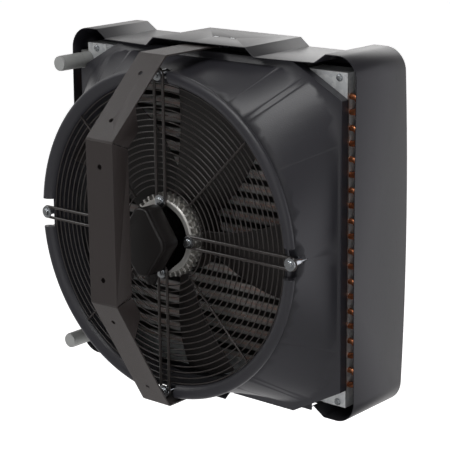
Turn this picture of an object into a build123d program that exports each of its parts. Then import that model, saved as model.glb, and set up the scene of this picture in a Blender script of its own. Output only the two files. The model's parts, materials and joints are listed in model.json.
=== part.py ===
from build123d import *
import os
from math import atan2, cos, pi, radians, sin, tan

# Wall-hung fan-blown finned-tube heat exchanger, all sizes in millimetres.
# +Z is up, +Y points from the wall into the room along the air stream, +X is to
# the right for someone who stands behind the fan and looks along the air stream.
# The origin is on the wall face of the bracket, half-way between its two wall holes.
# Offsets named ..._y are measured from the rear edge of the casing towards the room,
# and heights named ..._z are measured from the fan's axis.

# ---------- where the unit stands in the frame ----------
wall_gap = 252.0
fan_below_origin = 49.0

# ---------- casing ----------
casing_half_width = 309.0
casing_depth = 130.0
casing_wall = 1.5
casing_corner_radius = 37.0
casing_top_z = 308.5
casing_bottom_z = -291.0
casing_recess = 14.5
plateau_half_width = 100.0
recess_start = 117.0
recess_end = 227.0
recess_run_out = 21.0
bend_radius = 7.0
top_crown = 20.0
side_crown = 3.6
front_bow = 12.0
pivot_slot_length = 15.0
pivot_slot_width = 5.0
pivot_slot_spacing = 36.0

# ---------- coil ----------
coil_half_width = 282.5
coil_top_z = 281.0
coil_bottom_z = -270.0
coil_rear_y = 12.0
coil_depth = 48.0
plate_wall = 1.2
plate_flange = 45.0
front_flange = 20.0
channel_flange = 36.0
tube_radius = 4.76
tube_bore_radius = 4.2
tube_pitch = 25.0
row_pitch = 22.0
tubes_per_row = 20
row_count = 2
row_stagger = 12.5
first_tube_z = 243.5
first_row_y = 21.5
tube_overhang = 3.0
frame_screw_inset = 15.0
pipe_side_shift = 7.0
fin_clearance = 0.05
fin_margin = 12.5
fin_rear_gap = 3.0

# ---------- pipe connections ----------
stub_x = -283.0
stub_upper_z = 252.0
stub_lower_z = -254.5
stub_radius = 13.45
stub_bore_radius = 11.0
stub_length = 68.0
stub_spigot_length = 46.0
stub_shoulder = 0.25
manifold_width = 19.0
manifold_depth = 38.0
plug_head = 4.0
plug_depth = 14.0

# ---------- fan cowl ----------
cowl_half_width = 284.5
cowl_top_gap = 0.5
cowl_chamfer_x = 96.0
cowl_chamfer_z = 53.0
cowl_tray_depth = 17.0
cowl_wall = 3.0
cowl_margin_side = 5.5
cowl_margin_top = 10.5
bell_foot_radius = 108.0
bell_neck_radius = 269.0
bell_neck_y = -101.0
rim_outer_radius = 277.0
rim_front_y = -104.0
rim_back_y = -121.0
throat_radius = 254.0
throat_depth = 46.0
stub_clearance = 1.5

# ---------- guard ----------
guard_bolt_circle = 537.6
motor_bolt_circle = 120.0
guard_plane_y = -113.0
arm_wire = 5.0
arm_spread = 18.6
ring_wire = 2.2
ring_edge_gap = 0.6
first_ring_radius = 84.0
ring_count = 18
guard_bolt_radius = 3.0
washer_radius = 10.5
washer_thickness = 1.6
spacer_radius = 6.3
notch_half_width = 25.0
notch_floor_y = -92.0

# ---------- motor and impeller ----------
motor_flange_radius = 52.0
motor_flange_thickness = 7.0
cooling_ring_radius = 62.0
cooling_ring_depth = 12.0
cooling_tooth_count = 36
cooling_tooth_tip = 70.0
running_gap = 1.0
rotor_radius = 66.0
rotor_length = 54.0
rotor_wall = 5.0
rotor_gap = 3.0
tooth_count = 36
tooth_height = 5.0
tooth_depth = 8.0
shaft_radius = 6.0
shaft_clearance = 0.05
bearing_radius = 16.0
bearing_width = 10.0
bearing_tube_radius = 20.0
core_radius = 53.0
air_gap = 1.0
blade_count = 5
first_blade_turn = 31.0
blade_root_depth = 44.0
blade_tip_radius = 248.0
blade_thickness = 2.5
blade_ring_wall = 3.0

# ---------- terminal box ----------
box_half_width = 50.0
box_half_height = 56.0
box_depth = 30.0
box_lid_depth = 9.0
box_wall = 3.0
box_top_half_width = 10.0
gland_radius = 11.0

# ---------- louvres ----------
louvre_count = 8
louvre_pitch = 64.0
louvre_chord = 50.0
louvre_thickness = 3.2
louvre_pin_radius = 2.5
louvre_pin_length = 5.5
louvre_end_gap = 1.2
louvre_y = 101.0
opening_half_width = 276.0
opening_half_height = 262.0
frame_wall = 3.0
frame_clearance = 0.5
frame_box_depth = 49.0
bush_radius = 5.0

# ---------- wall bracket ----------
strip_half_width = 28.7
strip_wall = 2.5
bracket_top_z = 303.0
bracket_low_z = -284.0
top_bend_y = -125.0
low_bend_y = -136.0
upper_knee_z = 183.0
lower_knee_z = -83.0
flange_depth = 35.0
flange_run_out = 75.0
bracket_bend_radius = 5.0
wall_hole_radius = 4.5
wall_hole_spacing = 184.0
slant_hole_offset = 40.0

# ---------- pivots ----------
pivot_y = 51.0
pivot_radius = 5.0
pivot_clearance = 0.06
pivot_head_radius = 8.5
pivot_head_height = 6.4
pivot_washer_radius = 10.5
pivot_face_gap = 0.15
swing_angle = 25.0
swing_clearance = 2.0
nut_plate_wall = 1.5

# ---------- derived places ----------
fan_z = -fan_below_origin
casing_mid_z = (casing_top_z + casing_bottom_z) / 2
coil_height = coil_top_z - coil_bottom_z
coil_front_y = coil_rear_y + coil_depth
cowl_rear_y = coil_rear_y - cowl_tray_depth
cowl_half_height = casing_top_z - casing_recess - casing_wall - cowl_top_gap
ring_pitch = (throat_radius - ring_wire / 2 - ring_edge_gap - first_ring_radius) / (ring_count - 1)
fan_axis = Axis((0, wall_gap, fan_z), (0, 1, 0))
guard_bolt_reach = guard_bolt_circle / 2
motor_bolt_reach = motor_bolt_circle / 2

os.makedirs("parts", exist_ok=True)


def facing_wall(y, x=0.0, z=0.0):
    """Plane across the air stream: its normal points to the wall, its sketch y is up."""
    return Plane(origin=(x, wall_gap + y, fan_z + z), x_dir=(1, 0, 0), z_dir=(0, -1, 0))


def seen_from_above(z):
    """Level plane: sketch x is +X and sketch y is +Y from the casing's rear edge."""
    return Plane(origin=(0, wall_gap, fan_z + z), x_dir=(1, 0, 0), z_dir=(0, 0, 1))


def seen_from_right(x):
    """Upright plane along the air stream: sketch x is +Y, sketch y is up, normal is +X."""
    return Plane(origin=(x, wall_gap, fan_z), x_dir=(0, 1, 0), z_dir=(1, 0, 0))


def radial_places(reach):
    """The four places at twelve, three, six and nine o'clock on a circle."""
    return [(0, reach), (reach, 0), (0, -reach), (-reach, 0)]


def save(piece, name):
    piece.part.label = name
    export_step(piece.part, f"parts/{name}.step")


def around_fan(part, turns):
    """Copies of a part turned about the fan's axis by each angle in turns."""
    return [part.rotate(fan_axis, turn) for turn in turns]


def casing_outline(inset=0.0):
    """The face inside the casing's outer line, drawn smaller by inset."""
    recess_top = casing_top_z - casing_recess
    recess_bottom = casing_bottom_z + casing_recess
    right = [
        (plateau_half_width, casing_top_z),
        (recess_start, recess_top),
        (recess_end, recess_top),
        (recess_end + recess_run_out, casing_top_z),
        (casing_half_width, casing_top_z),
        (casing_half_width, casing_bottom_z),
        (recess_end + recess_run_out, casing_bottom_z),
        (recess_end, recess_bottom),
    ]
    left = [(-x, z) for x, z in reversed(right)]
    with BuildSketch() as outline:
        with BuildLine():
            Polyline(*right, *left, close=True)
        make_face()
        corners = [v for v in outline.vertices() if abs(v.X) > casing_half_width - 1]
        bends = [v for v in outline.vertices() if abs(v.X) <= casing_half_width - 1]
        fillet(corners, casing_corner_radius)
        fillet(bends, bend_radius)
        if inset:
            offset(amount=-inset, mode=Mode.REPLACE)
    return outline.sketch


def tray_outline(inset_side=0.0, inset_top=0.0, corner=0.0):
    """The cowl's eight-sided foot as a face, drawn smaller by the insets."""
    half_width = cowl_half_width - inset_side
    half_height = cowl_half_height - inset_top
    cut_x = cowl_half_width - cowl_chamfer_x - inset_side * 0.3
    cut_z = cowl_half_height - cowl_chamfer_z - inset_top * 0.4
    right = [
        (cut_x, half_height),
        (half_width, cut_z),
        (half_width, -cut_z),
        (cut_x, -half_height),
    ]
    left = [(-x, z) for x, z in reversed(right)]
    with BuildSketch() as outline:
        with BuildLine():
            Polyline(*right, *left, close=True)
        make_face()
        if corner:
            fillet(outline.vertices(), corner)
    return outline.sketch


# ============================== casing ==============================
with BuildPart() as casing_shell:
    with BuildSketch(facing_wall(-top_crown)):
        add(casing_outline())
        add(casing_outline(casing_wall), mode=Mode.SUBTRACT)
    extrude(amount=-(top_crown + casing_depth + front_bow))
    # rear edge of the top: bowed towards the wall between the two recess ends
    with BuildSketch(seen_from_above(0)):
        with BuildLine():
            Line((-recess_end, -side_crown), (-casing_half_width - 5, -side_crown))
            Line((-casing_half_width - 5, -side_crown), (-casing_half_width - 5, -top_crown - 5))
            Line((-casing_half_width - 5, -top_crown - 5), (casing_half_width + 5, -top_crown - 5))
            Line((casing_half_width + 5, -top_crown - 5), (casing_half_width + 5, -side_crown))
            Line((casing_half_width + 5, -side_crown), (recess_end, -side_crown))
            ThreePointArc((recess_end, -side_crown), (0, -top_crown), (-recess_end, -side_crown))
        make_face()
    extrude(amount=casing_top_z + 10, both=True, mode=Mode.SUBTRACT)
    # rear edge of the sides: a shallow bow of its own
    for side in (-1, 1):
        with BuildSketch(seen_from_right(side * (recess_end + casing_half_width + 5) / 2)):
            with BuildLine():
                Line((0, casing_bottom_z - 5), (-top_crown - 6, casing_bottom_z - 5))
                Line((-top_crown - 6, casing_bottom_z - 5), (-top_crown - 6, casing_top_z + 5))
                Line((-top_crown - 6, casing_top_z + 5), (0, casing_top_z + 5))
                ThreePointArc((0, casing_top_z + 5), (-side_crown, casing_mid_z), (0, casing_bottom_z - 5))
            make_face()
        extrude(amount=(casing_half_width + 5 - recess_end) / 2, both=True, mode=Mode.SUBTRACT)
    # front edge: bowed into the room
    with BuildSketch(seen_from_right(0)):
        with BuildLine():
            reach = casing_depth + front_bow + 10
            Line((casing_depth, casing_bottom_z - 5), (reach, casing_bottom_z - 5))
            Line((reach, casing_bottom_z - 5), (reach, casing_top_z + 5))
            Line((reach, casing_top_z + 5), (casing_depth, casing_top_z + 5))
            ThreePointArc((casing_depth, casing_top_z + 5), (casing_depth + front_bow, casing_mid_z),
                          (casing_depth, casing_bottom_z - 5))
        make_face()
    extrude(amount=casing_half_width + 5, both=True, mode=Mode.SUBTRACT)
    # the bottom stops short of the cowl's foot, which hangs over it
    with BuildSketch(seen_from_above(casing_bottom_z - 5)):
        with Locations((0, (coil_rear_y + 2 - top_crown - 10) / 2)):
            Rectangle(2 * (recess_end - 1), coil_rear_y + 2 + top_crown + 10)
    extrude(amount=casing_recess + 15, mode=Mode.SUBTRACT)
    # holes for the upper and lower pivot
    with BuildSketch(seen_from_above(casing_bottom_z - 5)):
        with Locations((0, pivot_y)):
            Circle(pivot_radius + 1)
    extrude(amount=casing_recess + 15, mode=Mode.SUBTRACT)
    with BuildSketch(seen_from_above(casing_top_z - 10)):
        with Locations((-pivot_slot_spacing / 2, pivot_y), (pivot_slot_spacing / 2, pivot_y)):
            SlotOverall(pivot_slot_length, pivot_slot_width)
    extrude(amount=20, mode=Mode.SUBTRACT)
save(casing_shell, "casing_shell")

tab_y = louvre_y + louvre_chord / 2 - frame_wall - 4
tab_x = casing_half_width - casing_wall - 10
tab_z = casing_top_z - casing_mid_z - 48
with BuildPart() as casing_tabs:
    for side in (-1, 1):
        for z in (casing_mid_z - tab_z, casing_mid_z + tab_z):
            with BuildSketch(facing_wall(tab_y + 2, side * tab_x, z)):
                Rectangle(20, 24)
                Circle(2.1, mode=Mode.SUBTRACT)
            extrude(amount=2)
            with BuildSketch(facing_wall(tab_y, side * (tab_x + 9), z)):
                Rectangle(2, 24)
            extrude(amount=14)
save(casing_tabs, "casing_tabs")

# ============================== front frame and louvres ==============================
plate_y = tab_y + 2
frame_rear_y = plate_y + frame_wall - frame_box_depth
with BuildPart() as front_frame:
    with BuildSketch(facing_wall(plate_y + frame_wall)):
        add(casing_outline(casing_wall + frame_clearance))
        with Locations((0, casing_mid_z)):
            Rectangle(2 * opening_half_width, 2 * opening_half_height, mode=Mode.SUBTRACT)
    extrude(amount=frame_wall)
    with BuildSketch(facing_wall(plate_y, 0, casing_mid_z)):
        Rectangle(2 * (opening_half_width + frame_wall), 2 * (opening_half_height + frame_wall))
        Rectangle(2 * opening_half_width, 2 * opening_half_height, mode=Mode.SUBTRACT)
    extrude(amount=plate_y - frame_rear_y)
    with BuildSketch(seen_from_right(0)):
        with Locations((louvre_y, casing_mid_z)):
            with GridLocations(1, louvre_pitch, 1, louvre_count):
                Circle(bush_radius + 0.02)
    extrude(amount=opening_half_width + frame_wall + 5, both=True, mode=Mode.SUBTRACT)
    for side in (-1, 1):
        for z in (casing_mid_z - tab_z, casing_mid_z + tab_z):
            with BuildSketch(facing_wall(plate_y, side * tab_x, z)):
                Circle(2.4)
            extrude(amount=-frame_wall - 1, mode=Mode.SUBTRACT)
save(front_frame, "front_frame")

with BuildPart() as front_frame_screws:
    for side in (-1, 1):
        for z in (casing_mid_z - tab_z, casing_mid_z + tab_z):
            with BuildSketch(facing_wall(plate_y + frame_wall, side * tab_x, z)):
                Circle(4.2)
            extrude(amount=-2.6)
            with BuildSketch(facing_wall(plate_y + frame_wall, side * tab_x, z)):
                Circle(1.9)
            extrude(amount=12)
save(front_frame_screws, "front_frame_screws")

with BuildPart() as louvre_bushes:
    for side in (-1, 1):
        plane = seen_from_right(side * (opening_half_width - 0.6))
        with BuildSketch(plane):
            with Locations((louvre_y, casing_mid_z)):
                with GridLocations(1, louvre_pitch, 1, louvre_count):
                    Circle(bush_radius)
                    Circle(louvre_pin_radius + shaft_clearance, mode=Mode.SUBTRACT)
        extrude(amount=side * (frame_wall + 3))
save(louvre_bushes, "louvre_bushes")

blade_half_length = opening_half_width - louvre_end_gap
for number in range(louvre_count):
    height = casing_mid_z + (number - (louvre_count - 1) / 2) * louvre_pitch
    with BuildPart() as louvre:
        with BuildSketch(seen_from_right(0)) as profile:
            with Locations((louvre_y, height)):
                SlotOverall(louvre_chord, louvre_thickness)
                Circle(louvre_thickness)
        extrude(amount=blade_half_length, both=True)
        with BuildSketch(seen_from_right(0)):
            with Locations((louvre_y, height)):
                Circle(louvre_pin_radius)
        extrude(amount=blade_half_length + louvre_pin_length, both=True)
    save(louvre, f"louvre_{number + 1}")

# ============================== coil ==============================
tube_rows = []
for row in range(row_count):
    row_y = first_row_y + row * row_pitch
    heights = [first_tube_z - row * row_stagger - n * tube_pitch for n in range(tubes_per_row)]
    tube_rows.append((row_y, heights))
tube_places = [(y, z) for y, heights in tube_rows for z in heights]
fin_top_z = first_tube_z + fin_margin
fin_bottom_z = tube_rows[-1][1][-1] - fin_margin

frame_screw_x = coil_half_width - frame_screw_inset
frame_screw_places = [(x, z) for x in (pipe_side_shift - frame_screw_x, frame_screw_x)
                      for z in (coil_bottom_z + 7.5, coil_top_z - 8.5)]

for side, name in ((-1, "tube_sheet_left"), (1, "tube_sheet_right")):
    with BuildPart() as tube_sheet:
        with BuildSketch(seen_from_above(coil_bottom_z)):
            outer = side * coil_half_width
            inner = side * (coil_half_width - plate_wall)
            rear_lip = side * (coil_half_width - plate_flange)
            front_lip = side * (coil_half_width - front_flange)
            with BuildLine():
                Polyline(
                    (outer, coil_rear_y), (rear_lip, coil_rear_y),
                    (rear_lip, coil_rear_y + plate_wall), (inner, coil_rear_y + plate_wall),
                    (inner, coil_front_y - plate_wall), (front_lip, coil_front_y - plate_wall),
                    (front_lip, coil_front_y), (outer, coil_front_y), close=True)
            make_face()
        extrude(amount=coil_height)
        with BuildSketch(seen_from_right(side * coil_half_width)):
            with Locations(*tube_places):
                Circle(tube_radius + fin_clearance)
        extrude(amount=4, both=True, mode=Mode.SUBTRACT)
        with BuildSketch(facing_wall(coil_rear_y)):
            with Locations(*frame_screw_places):
                Circle(2.2)
        extrude(amount=-4, mode=Mode.SUBTRACT)
    save(tube_sheet, name)

channel_half_width = coil_half_width - plate_wall - 0.1
for level, turn, name in ((coil_top_z, -1, "coil_top_channel"), (coil_bottom_z, 1, "coil_bottom_channel")):
    with BuildPart() as channel:
        with BuildSketch(seen_from_right(0)):
            near = coil_rear_y + plate_wall
            far = coil_front_y - plate_wall
            with BuildLine():
                Polyline(
                    (near, level), (far, level),
                    (far, level + turn * front_flange), (far - plate_wall, level + turn * front_flange),
                    (far - plate_wall, level + turn * plate_wall),
                    (near + plate_wall, level + turn * plate_wall),
                    (near + plate_wall, level + turn * channel_flange),
                    (near, level + turn * channel_flange), close=True)
            make_face()
        extrude(amount=channel_half_width, both=True)
        with BuildSketch(facing_wall(coil_rear_y)):
            with Locations(*frame_screw_places):
                Circle(2.2)
        extrude(amount=-4, mode=Mode.SUBTRACT)
    save(channel, name)

with BuildPart() as coil_frame_screws:
    for x, z in frame_screw_places:
        with BuildSketch(facing_wall(coil_rear_y, x, z)):
            Circle(6.2)
        extrude(amount=1.0)
        with BuildSketch(facing_wall(coil_rear_y - 1.0, x, z)):
            RegularPolygon(4.8, 6)
        extrude(amount=3.0)
        with BuildSketch(facing_wall(coil_rear_y, x, z)):
            Circle(2.1)
        extrude(amount=-10)
save(coil_frame_screws, "coil_frame_screws")

fin_rear_y = coil_rear_y + 2 * plate_wall + fin_rear_gap / 10
fin_front_y = coil_front_y - 2 * plate_wall - fin_rear_gap / 10
with BuildPart() as fin_pack:
    with BuildSketch(seen_from_right(0)):
        with Locations(((fin_rear_y + fin_front_y) / 2, (fin_top_z + fin_bottom_z) / 2)):
            Rectangle(fin_front_y - fin_rear_y, fin_top_z - fin_bottom_z)
        with Locations(*tube_places):
            Circle(tube_radius + fin_clearance, mode=Mode.SUBTRACT)
    extrude(amount=coil_half_width - plate_wall - 0.5, both=True)
save(fin_pack, "fin_pack")

tube_end = coil_half_width + tube_overhang
with BuildPart() as coil_tubes:
    with BuildSketch(seen_from_right(0)):
        with Locations(*tube_places):
            Circle(tube_radius)
            Circle(tube_bore_radius, mode=Mode.SUBTRACT)
    extrude(amount=tube_end, both=True)
save(coil_tubes, "coil_tubes")


def return_bends(side, first):
    """U-bends that join neighbouring tubes of each row outside one tube sheet."""
    with BuildPart() as bends:
        for row_y, heights in tube_rows:
            for n in range(first, tubes_per_row - 1, 2):
                middle = (heights[n] + heights[n + 1]) / 2
                with BuildSketch(seen_from_right(side * tube_end)):
                    with Locations((row_y, heights[n])):
                        Circle(tube_radius)
                        Circle(tube_bore_radius, mode=Mode.SUBTRACT)
                centre = (side * tube_end, wall_gap + row_y, fan_z + middle)
                revolve(axis=Axis(centre, (0, 1, 0)), revolution_arc=side * 180)
    return bends


save(return_bends(1, 0), "return_bends_right")
save(return_bends(-1, 1), "return_bends_left")

manifold_x = -(tube_end + manifold_width / 2)
manifold_y = (tube_rows[0][0] + tube_rows[-1][0]) / 2
manifold_rear_y = manifold_y - manifold_depth / 2
upper_tube_z = [heights[0] for row_y, heights in tube_rows]
lower_tube_z = [heights[-1] for row_y, heights in tube_rows]
manifold_list = (
    ("return_manifold", stub_upper_z, min(upper_tube_z) - tube_radius - 2, stub_upper_z + stub_radius),
    ("supply_manifold", stub_lower_z, stub_lower_z - stub_radius, max(lower_tube_z) + tube_radius + 1),
)
stub_front_y = coil_rear_y - 0.2
stub_rear_y = stub_front_y - stub_length
for name, stub_z, low, high in manifold_list:
    with BuildPart() as manifold:
        with BuildSketch(seen_from_above(low)) as box_section:
            with Locations((manifold_x, manifold_y)):
                Rectangle(manifold_width, manifold_depth)
            fillet(box_section.vertices(), 5)
        extrude(amount=high - low)
        with BuildSketch(seen_from_above(low + 2)) as inner_section:
            with Locations((manifold_x, manifold_y)):
                Rectangle(manifold_width - 4, manifold_depth - 4)
            fillet(inner_section.vertices(), 3)
        extrude(amount=high - low - 4, mode=Mode.SUBTRACT)
        with BuildSketch(facing_wall(stub_front_y, stub_x, stub_z)):
            Circle(stub_radius - stub_shoulder)
        extrude(amount=stub_length)
        # free end of the stub, which the hose slides over
        with BuildSketch(facing_wall(stub_rear_y, stub_x, stub_z)):
            Circle(stub_radius)
        extrude(amount=-stub_spigot_length)
        # short web that carries the stub past the edge of the tube sheet
        with BuildSketch(facing_wall(manifold_rear_y + 3, manifold_x, stub_z)):
            Rectangle(manifold_width - 6, 2 * stub_radius - 8)
        extrude(amount=manifold_rear_y + 3 - stub_front_y + 3)
        with BuildSketch(facing_wall(stub_front_y - 4, stub_x, stub_z)):
            Circle(stub_bore_radius)
        extrude(amount=stub_length, mode=Mode.SUBTRACT)
        feed_x = (manifold_x + stub_x - stub_bore_radius) / 2
        with BuildSketch(facing_wall(manifold_rear_y + 6, feed_x, stub_z)):
            Circle(4)
        extrude(amount=manifold_rear_y + 12 - stub_front_y, mode=Mode.SUBTRACT)
        with BuildSketch(seen_from_right(-tube_end)):
            with Locations(*[(y, z) for y, z in tube_places if low < z < high]):
                Circle(tube_bore_radius)
        extrude(amount=-4, mode=Mode.SUBTRACT)
    save(manifold, name)

for name, stub_z in (("pipe_plug_upper", stub_upper_z), ("pipe_plug_lower", stub_lower_z)):
    with BuildPart() as pipe_plug:
        with BuildSketch(facing_wall(stub_rear_y + plug_depth, stub_x, stub_z)):
            Circle(stub_bore_radius)
        extrude(amount=plug_depth)
        with BuildSketch(facing_wall(stub_rear_y, stub_x, stub_z)):
            Circle(stub_radius - 0.6)
        extrude(amount=plug_head)
        fillet(pipe_plug.edges().filter_by(GeomType.CIRCLE).sort_by(Axis.Y)[0], 1.2)
    save(pipe_plug, name)

rest_thickness = abs(coil_bottom_z - casing_bottom_z) - casing_recess - casing_wall
with BuildPart() as coil_rests:
    for side in (-1, 1):
        with BuildSketch(facing_wall(coil_rear_y + 6, side * 150, coil_bottom_z - rest_thickness / 2)):
            Rectangle(60, rest_thickness)
        extrude(amount=-36)
        upper_gap = casing_top_z - casing_recess - casing_wall - coil_top_z
        with BuildSketch(facing_wall(coil_rear_y + 6, side * 172, coil_top_z + upper_gap / 2)):
            Rectangle(60, upper_gap)
        extrude(amount=-36)
save(coil_rests, "coil_rests")



# ============================== fan cowl ==============================
def bell_solid(inset):
    """The cowl's bell from its eight-sided foot to its round neck, drawn smaller by inset."""
    with BuildPart() as bell:
        with BuildSketch(facing_wall(cowl_rear_y)):
            add(tray_outline(cowl_margin_side + inset, cowl_margin_top + inset, bell_foot_radius - inset))
        with BuildSketch(facing_wall(bell_neck_y)):
            Circle(bell_neck_radius - inset)
        loft()
    return bell.part


lip_middle_radius = rim_outer_radius - 8
with BuildPart() as cowl_envelope:
    add(bell_solid(0))
    with BuildSketch(seen_from_right(0)):
        with BuildLine():
            Line((rim_front_y + 6, 0), (rim_front_y + 6, bell_neck_radius - 1))
            Line((rim_front_y + 6, bell_neck_radius - 1), (rim_front_y - 1, bell_neck_radius))
            ThreePointArc((rim_front_y - 1, bell_neck_radius), (rim_front_y - 5, rim_outer_radius - 2.5),
                          (rim_front_y - 9, rim_outer_radius))
            ThreePointArc((rim_front_y - 9, rim_outer_radius), (rim_back_y + 1.5, rim_outer_radius - 3),
                          (rim_back_y, lip_middle_radius))
            Line((rim_back_y, lip_middle_radius), (rim_back_y, 0))
            Line((rim_back_y, 0), (rim_front_y + 6, 0))
        make_face()
    revolve(axis=fan_axis)

# walls, floor and space of one guard bolt's pocket, at twelve o'clock
pocket_top_y = rim_back_y + 5.5
pocket_floor_y = notch_floor_y + cowl_wall
pocket_low = throat_radius + 1
pocket_high = rim_outer_radius + 5
with BuildPart() as pocket_block:
    with BuildSketch(facing_wall(pocket_top_y, 0, (pocket_low + pocket_high) / 2)):
        Rectangle(2 * (notch_half_width + cowl_wall), pocket_high - pocket_low)
    extrude(amount=pocket_top_y - pocket_floor_y)
void_low = throat_radius + 5
void_high = rim_outer_radius + 10
with BuildPart() as pocket_void:
    with BuildSketch(facing_wall(notch_floor_y, 0, (void_low + void_high) / 2)):
        Rectangle(2 * notch_half_width, void_high - void_low)
    extrude(amount=notch_floor_y - rim_back_y + 5)
with BuildPart() as bolt_boss:
    with BuildSketch(facing_wall(notch_floor_y, 0, guard_bolt_reach)):
        Circle(washer_radius)
    extrude(amount=-24)
# gap in the rim's nose that the guard's arm passes through
with BuildPart() as arm_gap:
    with BuildSketch(facing_wall(guard_plane_y + arm_wire / 2 + 2, 0, throat_radius + 1)):
        Rectangle(2 * notch_half_width, 12)
    extrude(amount=20)
quarter_turns = [0, 90, 180, 270]
added_blocks = around_fan(pocket_block.part, quarter_turns) + around_fan(bolt_boss.part, quarter_turns)
pocket_walls = [block & cowl_envelope.part for block in added_blocks]
pocket_voids = around_fan(pocket_void.part, quarter_turns) + around_fan(arm_gap.part, quarter_turns)

# wall that wraps round each pipe stub where the foot's corner meets it
with BuildPart() as stub_wraps:
    with BuildSketch(facing_wall(coil_rear_y)):
        with Locations((stub_x, stub_upper_z), (stub_x, stub_lower_z)):
            Circle(stub_radius + stub_clearance + cowl_wall)
    extrude(amount=cowl_tray_depth)
with BuildPart() as foot_block:
    with BuildSketch(facing_wall(coil_rear_y)):
        add(tray_outline())
    extrude(amount=cowl_tray_depth)
wrap_walls = stub_wraps.part & foot_block.part

with BuildPart() as fan_cowl:
    # foot tray
    with BuildSketch(facing_wall(coil_rear_y)):
        add(tray_outline())
    extrude(amount=cowl_tray_depth)
    # bell and rolled rim, solid for now
    add(cowl_envelope.part)
    # hollow behind the skin
    with BuildSketch(facing_wall(coil_rear_y)):
        add(tray_outline(cowl_wall, cowl_wall))
    extrude(amount=cowl_tray_depth - cowl_wall, mode=Mode.SUBTRACT)
    add(bell_solid(cowl_wall), mode=Mode.SUBTRACT)
    # open the foot's floor inside the bell
    with BuildSketch(facing_wall(cowl_rear_y + cowl_wall + 1)):
        add(tray_outline(cowl_margin_side + cowl_wall, cowl_margin_top + cowl_wall,
                         bell_foot_radius - cowl_wall))
    extrude(amount=cowl_wall + 1.5, mode=Mode.SUBTRACT)
    # throat: a round-nosed tube that the impeller runs in
    with BuildSketch(facing_wall(bell_neck_y + throat_depth)):
        Circle(throat_radius + cowl_wall)
    extrude(amount=throat_depth + 4)
    with BuildSketch(seen_from_right(0)):
        with BuildLine():
            nose_y = rim_back_y + 15
            Line((rim_back_y - 1, 0), (bell_neck_y + throat_depth + 1, 0))
            Line((bell_neck_y + throat_depth + 1, 0), (bell_neck_y + throat_depth + 1, throat_radius))
            Line((bell_neck_y + throat_depth + 1, throat_radius), (nose_y, throat_radius))
            ThreePointArc((nose_y, throat_radius), (nose_y - 10.6, throat_radius + 4.4),
                          (rim_back_y, lip_middle_radius))
            Line((rim_back_y, lip_middle_radius), (rim_back_y - 1, lip_middle_radius))
            Line((rim_back_y - 1, lip_middle_radius), (rim_back_y - 1, 0))
        make_face()
    revolve(axis=fan_axis, mode=Mode.SUBTRACT)
    # pockets for the guard's bolts, each with a boss at its floor
    for wall in pocket_walls:
        add(wall)
    for void in pocket_voids:
        add(void, mode=Mode.SUBTRACT)
    for x, z in radial_places(guard_bolt_reach):
        with BuildSketch(facing_wall(rim_back_y, x, z)):
            Circle(guard_bolt_radius)
        extrude(amount=-(notch_floor_y + 20 - rim_back_y), mode=Mode.SUBTRACT)
    # corners of the foot wrap round the pipe stubs
    add(wrap_walls)
    with BuildSketch(facing_wall(coil_rear_y + 1)):
        with Locations((stub_x, stub_upper_z), (stub_x, stub_lower_z)):
            Circle(stub_radius + stub_clearance)
    extrude(amount=cowl_tray_depth + 20, mode=Mode.SUBTRACT)
    # underside pocket for the bracket's lower arm as the unit swings
    swing = radians(swing_angle)
    turned_half_width = (strip_half_width + swing_clearance / 2) / cos(swing)
    near_half = (pivot_y - coil_rear_y) * tan(swing) + turned_half_width
    pocket_far_y = -60.0
    far_half = (pivot_y - pocket_far_y) * tan(swing) + turned_half_width
    pocket_top_z = bracket_low_z + strip_wall + swing_clearance
    for drop, grow, mode in ((0, cowl_wall, Mode.ADD), (-cowl_wall, 0, Mode.SUBTRACT)):
        with BuildSketch(seen_from_above(pocket_top_z + cowl_wall + drop)):
            with BuildLine():
                Polyline(
                    (-near_half - grow, coil_rear_y), (near_half + grow, coil_rear_y),
                    (far_half + grow, pocket_far_y), (-far_half - grow, pocket_far_y), close=True)
            make_face()
        extrude(amount=-3 if mode == Mode.ADD else -30, mode=mode)
save(fan_cowl, "fan_cowl")

# ============================== guard ==============================
ring_y = guard_plane_y + arm_wire / 2 + ring_wire / 2
with BuildPart() as guard_rings:
    for number in range(ring_count):
        radius = first_ring_radius + number * ring_pitch
        with BuildSketch(seen_from_right(0)):
            with Locations((ring_y, radius)):
                Circle(ring_wire / 2)
        revolve(axis=fan_axis)
save(guard_rings, "guard_rings")

loop_radius = arm_spread / 2
with BuildPart() as upper_arm:
    with BuildLine(facing_wall(guard_plane_y)) as arm_path:
        Line((-loop_radius, motor_bolt_reach), (-loop_radius, guard_bolt_reach))
        ThreePointArc((-loop_radius, guard_bolt_reach), (0, guard_bolt_reach + loop_radius),
                      (loop_radius, guard_bolt_reach))
        Line((loop_radius, guard_bolt_reach), (loop_radius, motor_bolt_reach))
        ThreePointArc((loop_radius, motor_bolt_reach), (0, motor_bolt_reach - loop_radius),
                      (-loop_radius, motor_bolt_reach))
    with BuildSketch(Plane(origin=arm_path.wire() @ 0, z_dir=arm_path.wire() % 0)):
        Circle(arm_wire / 2)
    sweep(path=arm_path.wire())

with BuildPart() as guard_arms:
    for arm in around_fan(upper_arm.part, quarter_turns):
        add(arm)
save(guard_arms, "guard_arms")

last_ring_radius = first_ring_radius + (ring_count - 1) * ring_pitch
with BuildPart() as guard_stays:
    for place in range(4):
        turn = 45 + 90 * place
        start = first_ring_radius - 4
        length = last_ring_radius + 1 - start
        with BuildSketch(Plane(
                origin=(start * sin(radians(turn)), wall_gap + guard_plane_y + arm_wire / 2 - 1.7,
                        fan_z + start * cos(radians(turn))),
                z_dir=(sin(radians(turn)), 0, cos(radians(turn))))):
            Circle(1.7)
        extrude(amount=length)
save(guard_stays, "guard_stays")

arm_rear_y = guard_plane_y - arm_wire / 2
arm_front_y = guard_plane_y + arm_wire / 2


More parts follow.
